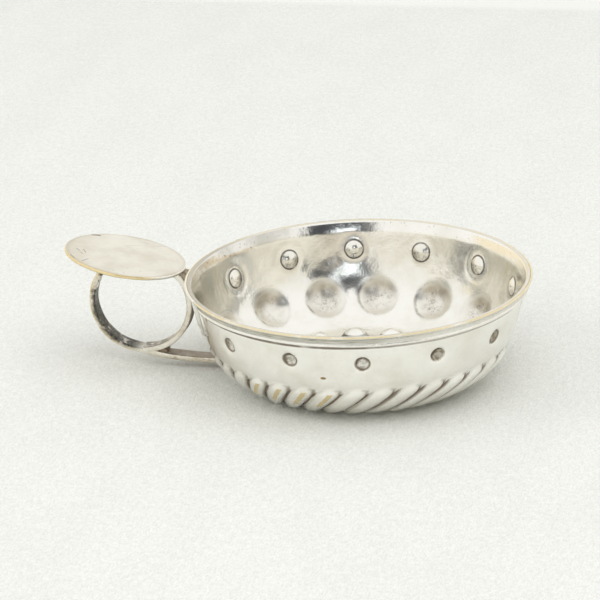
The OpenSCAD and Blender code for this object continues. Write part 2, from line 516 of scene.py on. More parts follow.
def ripple(u: Array, v: Array, seed: int, count: int, reach: float) -> Array:
    """Smooth waviness of about -1 to 1: a seeded sum of sines over two coordinates.

    Args:
        u: first coordinate, in millimetres.
        v: second coordinate, in millimetres.
        seed: seed of the directions and phases.
        count: sines in the sum.
        reach: mean wavelength in millimetres.

    Returns:
        The waviness.
    """
    draw = np.random.default_rng(seed)
    turn = draw.uniform(0.0, 2.0 * np.pi, count)
    wave = 2.0 * np.pi / (reach * draw.uniform(0.7, 1.6, count))
    shift = draw.uniform(0.0, 2.0 * np.pi, count)
    total = np.zeros(np.broadcast(u, v).shape)
    for angle, k, phase in zip(turn, wave, shift):
        total = total + np.sin(k * (np.cos(angle) * u + np.sin(angle) * v) + phase)
    return total / math.sqrt(count)


# The bowl's sheet


@dataclass(frozen=True)
class Profile:
    """Half section of the bowl's outer face: flat floor, round bend, straight leaning wall."""

    lip_z: float = 24.4
    top_r: float = 39.518
    lean: float = math.radians(15.6)
    bend_r: float = 17.0
    bend_c: float = 19.80
    sheet: float = 0.8
    flare: float = 0.6
    flare_power: float = 1.1
    collar: float = 2.7
    swell: float = 0.4
    swell_from: float = 36.0

    @property
    def bend_l(self) -> float:
        """Length of the bend."""
        return self.bend_r * (math.pi / 2.0 - self.lean)

    @property
    def wall_l(self) -> float:
        """Length of the straight wall."""
        return (self.lip_z - self.bend_r * (1.0 - math.sin(self.lean))) / math.cos(self.lean)

    @property
    def length(self) -> float:
        """Length of the whole half section, from the axis to the lip."""
        return self.bend_c + self.bend_l + self.wall_l

    def at(self, s: Array) -> tuple[Array, Array, Array, Array]:
        """Points and outward normals at lengths along the section.

        Args:
            s: lengths from the axis, in millimetres.

        Returns:
            r, z, and the normal's r and z.
        """
        turn = np.clip((s - self.bend_c) / self.bend_r, 0.0, math.pi / 2.0 - self.lean)
        nr, nz = np.sin(turn), -np.cos(turn)
        flat = np.minimum(s, self.bend_c)
        up = np.maximum(s - self.bend_c - self.bend_l, 0.0)
        r = flat + self.bend_r * nr + up * math.sin(self.lean)
        z = self.bend_r * (1.0 + nz) + up * math.cos(self.lean)
        out = self.belly(s)
        return r + self.spread(self.length - s) + out * nr, z + out * nz, nr, nz

    def belly(self, s: Array) -> Array:
        """How far the wall swells out between bend and lip: a sine squared.

        Args:
            s: lengths from the axis, in millimetres.

        Returns:
            Offset along the outward normal.
        """
        share = np.clip((s - self.swell_from) / (self.length - self.swell_from), 0.0, 1.0)
        return self.swell * np.sin(np.pi * share) ** 2

    def spread(self, drop: Array) -> Array:
        """How far the collar under the lip flares out.

        Args:
            drop: distance below the lip along the wall.

        Returns:
            Extra radius.
        """
        return self.flare * np.clip(1.0 - drop / self.collar, 0.0, 1.0) ** self.flare_power

    def at_dip(self, dip: float) -> float:
        """Length at which the bend's normal points this many degrees below level.

        Args:
            dip: angle in degrees.

        Returns:
            The length from the axis.
        """
        return self.bend_c + self.bend_r * math.radians(90.0 - dip)

    def below_lip(self, drop: Union[float, Array]) -> Union[float, Array]:
        """Length of the point of the wall this far below the lip.

        Args:
            drop: height below the lip.

        Returns:
            The length from the axis.
        """
        return self.length - drop / math.cos(self.lean)

    def height_under(self, r: Array) -> Array:
        """Height of the outer face over the table at a distance from the axis, under the bend.

        Args:
            r: distances from the axis.

        Returns:
            Heights.
        """
        out = np.clip(r - self.bend_c, 0.0, self.bend_r - 0.01)
        return self.bend_r - np.sqrt(self.bend_r ** 2 - out ** 2)


@dataclass(frozen=True)
class Chasing:
    """Where the sheet's ornament is, in millimetres and degrees round the axis.

    Attributes:
        pip_shift: each pip's shift round the axis and along the section, and the share of its raised brim.
        cupule_shift: each cupule's shift round the axis and along the section.
    """

    profile: Profile = field(default_factory=Profile)
    pips: int = 14
    pip_drop: float = 6.9
    pip_reach: float = 2.15
    pip_high: float = 1.0
    brim_high: float = 0.16
    brim_r: float = 3.7
    brim_w: float = 0.75
    lobe_first: float = 188.98
    lobe_step: float = 10.05
    lobe_count: int = 16
    lobe_twist: float = 1.27
    lobe_mid_dip: float = 42.0
    lobe_top: float = 39.2
    lobe_foot: float = 23.0
    lobe_high: float = 1.0
    lobe_nose: float = 2.5
    lobe_tail: float = 8.0
    lobe_fill: float = 0.88
    lobe_round: float = 0.55
    cupule_mid: float = 92.4
    cupule_step: float = 25.714
    cupule_dip: float = 39.0
    cupule_reach: float = 5.1
    cupule_deep: float = 1.4
    pearl_turn: float = 2.4
    pearl_r: float = 20.4
    pearl_reach: float = 3.4
    pearl_high: float = 2.6
    pearl_end: float = 6.0
    boss_reach: float = 9.0
    boss_high: float = 3.0
    pip_shift: tuple[tuple[float, float, float], ...] = (
        (0.0, 0.0, 0.3), (-2.0, -0.25, 0.3), (-0.9, -0.25, 0.7), (-0.2, -0.2, 0.3), (0.1, 0.05, 0.4),
        (0.0, -0.7, 0.4), (1.1, -1.05, 0.8), (0.0, 0.0, 0.0), (0.0, -0.8, 0.3), (-2.3, -0.7, 0.3),
        (-0.7, -0.35, 0.3), (-0.8, -0.55, 0.3), (0.3, -0.5, 0.3), (1.8, -1.2, 0.3))
    cupule_shift: tuple[tuple[float, float], ...] = (
        (0.0, 0.0), (2.4, 0.5), (1.6, 0.3), (1.0, 0.15), (-1.9, 0.1), (-1.8, 0.6), (0.0, 0.0))

    @property
    def pip_step(self) -> float:
        """Degrees from one pip to the next, and from one pearl to the next."""
        return 360.0 / self.pips

    @property
    def pip_s(self) -> float:
        """Length of the pips' centres along the section."""
        return self.profile.below_lip(self.pip_drop)

    @property
    def cupule_s(self) -> float:
        """Length of the cupules' centres along the section."""
        return self.profile.at_dip(self.cupule_dip)

    @property
    def lobe_mid_s(self) -> float:
        """Length at which a lobe has its own angle."""
        return self.profile.at_dip(self.lobe_mid_dip)


def settle(piece: Thing) -> None:
    """Makes a piece ride on the cup and logs its face count.

    Args:
        piece: the object.
    """
    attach(piece, "root")
    LOG.info("piece %s: %d faces", piece.name, len(piece.data.polygons))


@dataclass
class Bowl:
    """The raised bowl: one closed double-walled sheet with all its ornament struck in it.

    Attributes:
        cols: columns round the axis.
        rows: first length and number of rows of each band; the last band ends at the lip.
        lip_edge: how far below the lip the outer face ends.
        hammer: height of the hammered waviness.
        girth: radius at which the waviness is measured.
    """

    chasing: Chasing
    skin: Sequence[Material]
    cols: int = 560
    rows: tuple[tuple[float, int], ...] = ((0.0, 9), (15.0, 20), (24.0, 56))
    lip_edge: float = 0.12
    hammer: float = 0.035
    girth: float = 30.0
    piece: Optional[Thing] = None

    @staticmethod
    def cap(gap: Array, reach: float, high: float, foot: float = 0.25) -> Array:
        """Height of a round boss: a spherical cap with a short soft foot.

        Args:
            gap: distance from the boss's centre.
            reach: the cap's radius.
            high: its height.
            foot: width of the soft foot.

        Returns:
            Heights.
        """
        ball = (reach ** 2 + high ** 2) / (2.0 * high)
        dome = np.sqrt(np.maximum(ball ** 2 - gap ** 2, 0.0)) - (ball - high)
        fade = smooth(gap, reach * 1.5, reach * 1.02)
        return 0.5 * (dome + np.sqrt(dome ** 2 + (foot * high * 0.5) ** 2)) * fade

    def relief(self, s: Array, a: Array) -> Array:
        """How far the sheet is struck outwards: lobes and cupules out, pips, pearls and boss in.

        Args:
            s: length along the section.
            a: degrees round the axis, 0 to 360.

        Returns:
            Displacement along the outward normal.
        """
        c = self.chasing
        r = c.profile.at(s)[0]
        mm = DEGREE * r
        place = np.round(a / c.pip_step).astype(int)
        shift = np.array(c.pip_shift)[place % c.pips]
        gap = np.hypot((a - place * c.pip_step - shift[..., 0]) * mm, s - c.pip_s - shift[..., 1])
        shown = np.abs(a - 180.0) > c.pip_step / 2.0
        out = -self.cap(gap, c.pip_reach, c.pip_high) * shown
        out = out + c.brim_high * shift[..., 2] * np.exp(-((gap - c.brim_r) / c.brim_w) ** 2) * shown
        last = len(c.cupule_shift) // 2
        place = np.clip(np.round((a - c.cupule_mid) / c.cupule_step), -last, last).astype(int)
        shift = np.array(c.cupule_shift)[place + last]
        turn = a - c.cupule_mid - place * c.cupule_step - shift[..., 0]
        gap = np.hypot(turn * mm, s - c.cupule_s - shift[..., 1])
        out = out + self.cap(gap, c.cupule_reach, c.cupule_deep, 0.5)
        phase = (a - c.lobe_twist * (s - c.lobe_mid_s) - c.lobe_first) / c.lobe_step
        inside = (phase > 0.0) & (phase < c.lobe_count)
        side = 2.0 * (phase % 1.0 - 0.5) / c.lobe_fill
        top = np.maximum(0.0, s - (c.lobe_top - c.lobe_nose)) / c.lobe_nose
        low = np.maximum(0.0, (c.lobe_foot + c.lobe_tail) - s) / c.lobe_tail
        arch = np.clip(1.0 - side ** 2 - top ** 2 - low ** 2, 0.0, 1.0)
        out = out + c.lobe_high * arch ** c.lobe_round * inside
        near = ((a - c.pearl_turn) / c.pip_step + 0.5) % 1.0 - 0.5
        gap = np.hypot(near * c.pip_step * mm, r - c.pearl_r)
        flat = s < c.profile.bend_c + c.pearl_end
        out = out - self.cap(gap, c.pearl_reach, c.pearl_high) * flat
        return out - self.cap(s, c.boss_reach, c.boss_high)

    def build(self) -> None:
        """Builds the sheet: rows run along the outer face to the lip and back along the inner face."""
        p = self.chasing.profile
        stops = [start for start, _ in self.rows] + [p.length - self.lip_edge]
        bands = [np.linspace(start, end, count) for (start, count), end in zip(self.rows, stops[1:])]
        out_s = np.concatenate([band[:-1] for band in bands[:-1]] + bands[-1:])
        lap = p.sheet * math.tan(p.lean)
        in_s = out_s[::-1] - lap * smooth(out_s[::-1], 30.0, 50.0)
        s = np.concatenate([out_s, [p.length, p.length - lap], in_s])
        inner = np.concatenate([np.zeros(len(out_s)), [0.15, 0.85], np.ones(len(in_s))])
        r, z, nr, nz = (part[:, None] for part in p.at(s))
        sg, ag = np.meshgrid(s, np.arange(self.cols) * 360.0 / self.cols, indexing="ij")
        turn = np.radians(ag)
        x, y = self.girth * np.cos(turn), self.girth * np.sin(turn)
        wave = self.hammer * (ripple(x, y + sg, 5, 9, 11.0) + 0.4 * ripple(x - sg, y, 8, 9, 4.5))
        wave = wave * smooth(sg, 24.0, 30.0) * smooth(sg, p.length - 0.5, p.length - 3.0)
        push = self.relief(sg, ag) + wave - p.sheet * inner[:, None]
        points = polar(r + nr * push, turn, np.minimum(z + nz * push, p.lip_z))
        points[[0, -1], :, :2] = 0.0
        n = len(out_s)
        finish = np.full(len(s) - 1, Side.INSIDE.value)
        finish[:n - 1] = Side.OUTSIDE.value
        finish[n - 1:n + 2] = Side.LIP.value
        grid = Grid(points, map_uv(even(self.cols + 1), s / SECTION_UV), finish=finish)
        self.piece = grid.build("bowl_sheet", self.skin, sharp=60.0)

    def dress(self) -> None:
        """Puts the sheet on the frame in place of the plain solid."""
        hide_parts("bowl")
        settle(self.piece)


# Rim wire and shield


@dataclass
class Rim:
    """The moulded wire round the lip and the plate behind the handle that it butts against.

    Attributes:
        half: half of the shield's angle, which the wire leaves free.
        corner: depth of the shield below the lip at its two ends.
        tip: depth of the shield at its point.
        bent: heights below the lip and lengths along the section where the shield's point follows the bend.
    """

    profile: Profile
    wire_skin: Material
    shield_skin: Material
    half: float = 33.0
    wire_h: float = 2.6
    wire_t: float = 0.5
    wire_edge: float = 0.14
    cove_deep: float = 0.2
    bead_r: float = 0.4
    wire_cols: int = 420
    shield_t: float = 0.6
    shield_edge: float = 0.22
    shield_lip: float = 0.12
    corner: float = 8.6
    tip: float = 15.2
    bent: tuple[tuple[float, float], ...] = ((11.8, 15.2), (12.25, 16.1))
    wire: Optional[Thing] = None
    shield: Optional[Thing] = None

    def section(self) -> Array:
        """The wire's outline, outwards and along the wall: flat top edge, cove, bead, back.

        Returns:
            Points of a closed outline.
        """
        t, q = self.wire_t, self.wire_edge
        edge = np.radians(np.linspace(90.0, 0.0, 5))
        top = np.stack([t - q + q * np.cos(edge), -q + q * np.sin(edge)], axis=-1)
        y = np.linspace(-0.3, -1.72, 11)
        cove = np.stack([t - self.cove_deep * np.sin(np.pi * (-0.3 - y) / 1.5) ** 0.9, y], axis=-1)
        turn = np.radians(np.linspace(75.0, -100.0, 12))
        bead_x, bead_y = t - self.bead_r / 4.0, -self.wire_h + self.bead_r
        bead = np.stack([bead_x + self.bead_r * np.cos(turn), bead_y + self.bead_r * np.sin(turn)], axis=-1)
        back = np.stack([np.zeros(6), np.linspace(-self.wire_h + 0.05, 0.0, 6)], axis=-1)
        return np.concatenate([top, cove, bead, back])

    def build_wire(self) -> None:
        """Carries the section round the lip, with a little hand-made sway along it."""
        p = self.profile
        outline = self.section()
        out, along = outline[None, :, 0], outline[None, :, 1]
        sweep = np.linspace(-180.0 + self.half, 180.0 - self.half, self.wire_cols)
        sway = 0.05 * ripple(sweep * 0.7, np.zeros_like(sweep), 12, 6, 18.0)
        x = (out + p.belly(p.length + along)) * np.ones((len(sweep), 1))
        y = along + sway[:, None] * np.clip(-along / 2.0, 0.0, 1.0)
        r = p.top_r + x * math.cos(p.lean) + y * math.sin(p.lean) + p.spread(-y)
        z = np.minimum(p.lip_z - x * math.sin(p.lean) + y * math.cos(p.lean), p.lip_z)
        points = close_ends(polar(r, np.radians(sweep)[:, None], z))
        v = np.concatenate([sweep[:1], sweep, sweep[-1:]]) / 360.0 + 0.5
        u = np.append(outline[:, 1], outline[0, 1]) / -WIRE_UV
        self.wire = Grid(points, map_uv(u, v)).build("rim_moulding", [self.wire_skin])

    def build_shield(self) -> None:
        """Bends the shield to the wall: at each angle a thin closed loop from its lower edge to the lip."""
        p, t, q, e = self.profile, self.shield_t, self.shield_edge, self.shield_lip
        half = math.radians(self.half)
        turn = np.concatenate([[-self.half + 0.001], np.linspace(-self.half, self.half, 150), [self.half]])
        sweep = np.radians(turn)
        side = np.abs(np.sin(sweep)) / math.sin(half)
        drop = self.tip + (self.corner - self.tip) * np.minimum(side, 1.0)
        bend = np.interp(drop, self.bent[0], p.length - np.array(self.bent[1]))
        low = np.where(drop > self.bent[0][0], bend, p.below_lip(drop))
        turn = np.radians(np.linspace(-90.0, 90.0, 7))
        up, down = np.linspace(0.03, 0.97, 22), np.linspace(0.97, 0.03, 14)
        part = np.concatenate([np.zeros(len(turn)), up, np.ones(4), down])
        foot = t * 0.5 * (1.0 + np.sin(turn))
        lift = np.concatenate([foot, np.full(len(up), t), [t, t - e, e, 0.0], np.zeros(len(down))])
        inset = np.concatenate([q - q * np.cos(turn), 0.0 * up, [-e, 0.0, 0.0, 0.0], 0.0 * down])
        ends = smooth(np.abs(sweep), half, math.radians(self.half - 0.45))
        lift = lift[None, :] * (0.35 + 0.65 * np.sqrt(ends))[:, None]
        s = low[:, None] + part[None, :] * (p.length - low)[:, None] + inset[None, :]
        r, z, nr, nz = p.at(np.minimum(s, p.length))
        points = polar(r + nr * lift, (np.pi + sweep)[:, None], np.minimum(z + nz * lift, p.lip_z))
        for k in (0, -1):
            points[k] = points[k].mean(axis=0)
        rows, cols = points.shape[:2]
        self.shield = Grid(points, map_uv(even(cols + 1), even(rows))).build("lip_shield", [self.shield_skin])

    def build(self) -> None:
        """Builds both pieces."""
        self.build_wire()
        self.build_shield()

    def dress(self) -> None:
        """Puts both pieces on the frame."""
        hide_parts("rim_wire")
        settle(self.wire)
        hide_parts("wall_shield")
        settle(self.shield)


# Handle


@dataclass
class Handle:
    """The strip that makes tail and finger ring, and the oval plate on top of it.

    Attributes:
        crown_x: half the distance of the crown's two tighter bends.
        leave: degrees from the ring's lowest point at which the tail leaves it.
        tail_x: where the tail ends under the bowl.
        bowl_x: from here on the tail is pressed flat under the bowl.
    """

    profile: Profile
    strap_skin: Material
    plate_skin: Sequence[Material]
    ring_x: float = -52.6
    ring_z: float = 15.95
    mid_r: float = 11.875
    crown: float = 9.7
    crown_x: float = 5.84
    crown_z: float = 4.7
    bend_r: float = 4.375
    tail_r: float = 80.0
    leave: float = 14.0
    tail_x: float = -27.2
    bowl_x: float = -36.5
    strap_t: float = 1.35
    strap_w: float = 4.0
    strap_edge: float = 0.34
    strap_low: float = 0.6
    tilt: float = math.radians(10.5)
    plate_l: float = 29.3
    plate_w: float = 25.4
    plate_t: float = 0.8
    plate_edge: float = 0.3
    plate_out: float = 5.4
    plate_cols: int = 220
    plate_rows: int = 26
    strap: Optional[Thing] = None
    plate: Optional[Thing] = None

    def tilted(self, x: Array, z: Array) -> tuple[Array, Array]:
        """Turns points of the ring's own plane by the plate's tilt and moves them to the ring.

        Args:
            x: local x.
            z: local z.

        Returns:
            x and z in the row's frame.
        """
        c, s = math.cos(self.tilt), math.sin(self.tilt)
        return self.ring_x + x * c + z * s, self.ring_z - x * s + z * c

    def path(self) -> Array:
        """The strip's middle line: tail, round the left, over the flat top, down the right to the lap.

        Returns:
            x and z of the points, in order.
        """
        away = math.radians(270.0 - self.leave)
        far = self.tail_r - self.mid_r
        tx, tz = self.ring_x - far * math.cos(away), self.ring_z - far * math.sin(away)
        stop = 1.5 * math.pi + math.asin((self.tail_x - tx) / self.tail_r)
        turn = np.linspace(stop, away, 40)
        lines = [np.stack([tx + self.tail_r * np.cos(turn), tz + self.tail_r * np.sin(turn)], axis=-1)]
        hip, right = math.atan2(self.crown_z, self.crown_x), math.pi / 2.0
        arcs = [(0.0, 0.0, self.mid_r, away + self.tilt, math.pi - hip, 70),
                (-self.crown_x, self.crown_z, self.bend_r, math.pi - hip, right, 16),
                (self.crown_x, self.crown_z, self.bend_r, right, hip, 16),
                (0.0, 0.0, self.mid_r, hip, -right + self.tilt, 70)]
        for cx, cz, radius, start, end, count in arcs:
            turn = np.linspace(start, end, count)
            x, z = self.tilted(cx + radius * np.cos(turn), cz + radius * np.sin(turn))
            lines.append(np.stack([x, z], axis=-1))
        line = np.concatenate(lines)
        step = np.concatenate([[1.0], np.hypot(*np.diff(line, axis=0).T)])
        return line[step > 0.02]

    def section(self) -> Array:
        """The strip's outline: a flat bar with rounded edges, from its outer face over the near edge.

        Returns:
            Offsets outwards and along Y.
        """
        t, w, q = self.strap_t / 2.0, self.strap_w / 2.0, self.strap_edge
        corner = np.radians(np.linspace(0.0, 90.0, 6))
        quarter = np.stack([t - q + q * np.cos(corner), -(w - q) - q * np.sin(corner)], axis=-1)
        near_out = np.concatenate([[[t, 0.0], [t, -0.5 * w]], quarter])
        near_in = near_out[::-1] * [-1.0, 1.0]
        half = np.concatenate([near_out, near_in])
        other = half[1:-1][::-1] * [1.0, -1.0]
        return np.concatenate([half, other])

    def build_strap(self) -> None:
        """Carries the section along the path's own normal; under the bowl it is pressed against the sheet."""
        line = self.path()
        ahead = np.gradient(line, axis=0)
        ahead /= np.linalg.norm(ahead, axis=1, keepdims=True)
        outline = self.section()
        thick, wide = outline[None, :, 0], outline[None, :, 1]
        run = np.concatenate([[0.0], np.cumsum(np.hypot(*np.diff(line, axis=0).T))])
        out = thick + 0.05 * ripple(run[:, None], wide, 21, 8, 7.0) * np.sign(thick)
        x = line[:, 0, None] - ahead[:, 1, None] * out
        z = line[:, 1, None] + ahead[:, 0, None] * out
        y = np.broadcast_to(wide, x.shape) + 0.04 * ripple(run[:, None], thick, 22, 6, 9.0)
        under = self.profile.height_under(np.hypot(x, y)) - 0.03
        z = np.where(x > self.bowl_x, np.minimum(z, under), z)
        points = close_ends(np.stack([x, y, np.maximum(z, self.strap_low)], axis=-1))
        v = np.concatenate([run[:1], run, run[-1:]]) / STRAP_UV
        self.strap = Grid(points, map_uv(even(len(outline) + 1), v)).build("ring_strap", [self.strap_skin])

    def build_plate(self) -> None:
        """Oval plate: rings from the middle of the top face over the edge to the middle of the underside."""
        n, q, t = self.plate_rows, self.plate_edge, self.plate_t / 2.0
        turn = np.radians(np.linspace(90.0, -90.0, 9))
        share = np.concatenate([np.linspace(0.0, 0.985, n), np.ones(9), np.linspace(0.985, 0.0, n)])
        grow = np.concatenate([np.zeros(n), q * np.cos(turn) - q, np.zeros(n)])
        high = np.concatenate([np.full(n, t), t * np.sin(turn), np.full(n, -t)])
        angle = np.arange(self.plate_cols) * 2.0 * np.pi / self.plate_cols
        rag = 0.06 * ripple(12.0 * np.cos(angle), 12.0 * np.sin(angle), 31, 7, 5.0)
        x, y = ((share[:, None] * (size / 2.0 - 0.05 + rag) + grow[:, None]) * side
                for size, side in ((self.plate_l, np.cos(angle)), (self.plate_w, np.sin(angle))))
        dent = 0.05 * ripple(x, y, 33, 9, 9.0) * smooth(share, 1.0, 0.8)[:, None]
        z = high[:, None] + np.minimum(dent, 0.04)
        wx, wz = self.tilted(x - self.plate_out, z + self.crown + t)
        uv = np.stack([np.append(part, part[:, :1], axis=1) / PLATE_UV + 0.5 for part in (x, y)], axis=-1)
        finish = np.repeat([Side.OUTSIDE.value, Side.LIP.value, Side.INSIDE.value], [n, 8, n])
        grid = Grid(np.stack([wx, y, wz], axis=-1), uv, finish=finish)
        self.plate = grid.build("oval_plate", self.plate_skin)

    def build(self) -> None:
        """Builds strap and plate."""
        self.build_strap()
        self.build_plate()

    def dress(self) -> None:
        """Puts both on the frame."""
        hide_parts("handle_strap")
        settle(self.strap)
        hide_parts("thumb_plate")
        settle(self.plate)


# Finishes


@dataclass(frozen=True)
class Palette:
    """The metal's colours, as linear light."""

    bright: Colour = (0.94, 0.925, 0.875)
    dull: Colour = (0.82, 0.80, 0.715)
    tan: Colour = (0.56, 0.44, 0.30)
    brown: Colour = (0.13, 0.085, 0.05)
    black: Colour = (0.018, 0.016, 0.014)


@dataclass(frozen=True)
class Finish:
    """What the finishes share: the metal's colours and the start of a shader."""

    palette: Palette

    @staticmethod
    def start(name: str) -> tuple[Graph, Sock, Sock, Sock]:
        """An empty shader with the piece's coordinates.

        Args:
            name: the material's name.

        Returns:
            The shader, the point, and the piece's own u and v.
        """
        g = Graph.paint(name)
        return (g, g.place(), *g.flat())


@dataclass(frozen=True)
class SheetFinish(Finish):
    """The bowl's plated sheet, with tarnish kept to the chasing.

    Attributes:
        pip_ring: radius of the ring of pips.
        cupule_ring: radius of the ring of cupules.
        nick: where the near wall has a nick, in degrees and along the section.
        wire_end: angle of the mark at the wire's end.
    """

    chasing: Chasing
    pip_ring: float = 37.4
    cupule_ring: float = 32.7
    nick: tuple[float, float] = (268.1, 42.73)
    wire_end: float = 213.5
    # colour of the painted shade on the lobes' flanks
    lobe_flank_shade_tone: Colour = (0.30, 0.26, 0.19)
    patch_tone: Colour = (0.70, 0.57, 0.31)
    nick_tone: Colour = (0.30, 0.20, 0.07)
    corner_tone: Colour = (0.55, 0.49, 0.39)
    dimple_tone: Colour = (0.27, 0.235, 0.17)
    shade_tone: Colour = (0.12, 0.09, 0.06)
    lip_tone: Colour = (0.78, 0.75, 0.665)
    lip_brass: Colour = (0.80, 0.71, 0.50)
    lip_dirt: Colour = (0.47, 0.43, 0.35)
    wall_tone: Colour = (0.80, 0.65, 0.44)
    collar_tone: Colour = (0.50, 0.48, 0.43)
    hollow_tone: Colour = (0.66, 0.57, 0.43)
    # colour of the painted shade in the cupules' upper halves
    upper_shade_tone: Colour = (0.38, 0.30, 0.20)
    # colour of the spots and pits, and of the painted shade on one side of each cupule's rim
    spot_and_shade_tone: Colour = (0.20, 0.15, 0.10)
    outline_tone: Colour = (0.05, 0.035, 0.022)

    def sheet(self, name: str) -> tuple[Graph, Sock, Sock, Sock]:
        """An empty shader with the sheet's coordinates.

        Args:
            name: the material's name.

        Returns:
            The shader, the point, the degrees round the axis and the length along the section.
        """
        g, point, u, v = self.start(name)
        return g, point, u * 360.0, v * SECTION_UV

    def pip_gap(self, g: Graph, a: Sock, s: Sock) -> Sock:
        """Distance from the nearest pip's centre, in millimetres.

        Args:
            g: the shader.
            a: degrees round the axis.
            s: length along the section.

        Returns:
            The distance, large at the handle, where a pip is left out.
        """
        c = self.chasing
        starts = [max(0.0, (k - 0.5) / c.pips) for k in range(c.pips + 1)]
        turn, lift = g.steps(a / 360.0, starts, c.pip_shift + c.pip_shift[:1])
        near = (g.math("FRACT", a / c.pip_step + 0.5) - 0.5) * c.pip_step - turn
        gap = g.hypot(near * (DEGREE * self.pip_ring), s - c.pip_s - lift)
        return gap + abs(a - 180.0).rise(13.0, 12.0) * 9.0

    def cupule_gap(self, g: Graph, a: Sock, s: Sock) -> Sock:
        """Distance from the nearest cupule's centre, in millimetres.

        Args:
            g: the shader.
            a: degrees round the axis.
            s: length along the section.

        Returns:
            The distance, large on the half without cupules.
        """
        c = self.chasing
        count = len(c.cupule_shift)
        place = (a - (c.cupule_mid - 0.5 * count * c.cupule_step)) / c.cupule_step
        turn, lift = g.steps(place / float(count), [k / count for k in range(count)], c.cupule_shift)
        near = (g.math("FRACT", place) - 0.5) * c.cupule_step - turn
        gap = g.hypot(near * (DEGREE * self.cupule_ring), s - c.cupule_s - lift)
        return gap + abs(a - c.cupule_mid).rise(89.0, 91.0) * 30.0

    def outside(self) -> Material:
        """The outer face: bright, with dark grooves between the lobes, painted shade on the lobes' flanks and
        noses, and brown dimples with a painted shaded side.

        Returns:
            The material.
        """
        c, k, lip = self.chasing, self.palette, self.chasing.profile.length
        g, point, a, s = self.sheet("plate_outside")
        cloud = g.noise(point, 120.0, 4.0)
        grain = g.noise(point, 900.0, 3.0, 0.65)
        fine = g.noise(point, 2600.0, 2.0, 0.6)
        jitter = grain - 0.5
        # Lobes: cell runs from 0 to 1 across each, and arch falls to 0 at its side edges and its nose
        phase = (a - (s - c.lobe_mid_s) * c.lobe_twist - c.lobe_first) / c.lobe_step
        within = phase.rise(-0.12, 0.02) * phase.rise(c.lobe_count + 0.12, c.lobe_count - 0.02)
        cell = g.math("FRACT", phase)
        top = ((s - (c.lobe_top - c.lobe_nose)) | 0.0) / c.lobe_nose
        low = ((c.lobe_foot + c.lobe_tail - s) | 0.0) / c.lobe_tail
        side = abs(cell - 0.5) * (2.0 / c.lobe_fill)
        arch = 1.0 - side ** 2.0 - top ** 2.0
        crown = arch - low ** 2.0
        fade = s.rise(c.lobe_foot + 0.5, c.lobe_foot + 5.0)
        # Painted shade (soft) on the lobes' flanks and in the notches round their noses, heavier on one side
        # of each lobe and on some lobes
        flank_shade_weight = (0.25 + side.rise(0.50, 0.85) * 0.75) * (0.35 + cell.rise(0.45, 0.75) * 0.65)
        soft = crown.rise(0.60, 0.05) * crown.rise(-0.7, -0.1) * flank_shade_weight * within * fade
        edge = arch + jitter * 0.15
        # Painted crease shade round the top of each lobe's nose; the groove mask joins it to the dark tarnish
        # lines between the lobes
        nose_crease_shade = edge.rise(0.26, 0.06) * edge.rise(-0.26, -0.04) * cell.rise(0.48, 0.70) * top.rise(0.0, 0.2)
        far = cell.rise(0.17, 0.06) * phase.rise(8.0, 10.5) * top.rise(0.95, 0.45)
        groove_tarnish_and_shade = (side + jitter * 0.10 + (cell - 0.5) * 0.10).rise(0.93, 1.03) * top.rise(0.60, 0.15)
        groove_tarnish_and_shade = (groove_tarnish_and_shade * fade | nose_crease_shade * 0.22 | far * fade * 0.95) * within
        shade_depth = phase.rise(9.0, 7.0) * phase.rise(1.5, 3.0) + phase.rise(8.5, 11.0) * 0.6
        patch = (cell + jitter * 0.06).band(0.53, 0.095, 0.02) * s.band(35.7, 2.4, 0.2)
        patch = patch * phase.rise(3.97, 4.03) * phase.rise(8.03, 7.97)
        # Dimples, each with a ring and a shaded side
        gap = self.pip_gap(g, a, s)
        dimple = gap.rise(1.75, 1.35)
        ring = gap.band(1.62, 0.10, 0.22) * (cloud + 0.35).rise(0.55, 0.85)
        shade = dimple * (self.pip_gap(g, a - 0.9, s + 0.5) + jitter * 1.2).rise(1.25, 1.95)
        lighter = a.rise(240.0, 225.0) * a.rise(150.0, 185.0)
        stain = 0.22 + grain.rise(0.40, 0.62) * 0.55 + a.rise(285.0, 305.0) * a.rise(350.0, 335.0) * 0.45
        # The line under the wire, the wire's end, the nick and the dull corner beside the handle
        # The line under the wire is painted shade under the bead as well as the joint's dirt
        line = s.band(lip - 3.2, 0.22, 0.22) * (g.noise(point, 260.0, 2.0) + 0.3).rise(0.42, 0.80)
        line = line * (1.0 - a.rise(280.0, 305.0) * a.rise(358.0, 335.0) * 0.45)
        line = line | a.band(self.wire_end, 0.22, 0.15) * s.rise(lip - 9.6, lip - 9.0) * grain.rise(0.3, 0.5)
        nick = g.hypot((a - self.nick[0]) * 0.72, (s - self.nick[1]) * 2.0).rise(0.85, 0.6)
        corner = a.rise(231.0, 208.0) * a.rise(155.0, 185.0)
        grime = corner * s.rise(36.0, 44.0) * (cloud + 0.2).rise(0.4, 0.9)
        haze = cloud.rise(0.40, 0.70) * 0.75
        speck = fine.rise(0.62, 0.72) * grain.rise(0.45, 0.6)
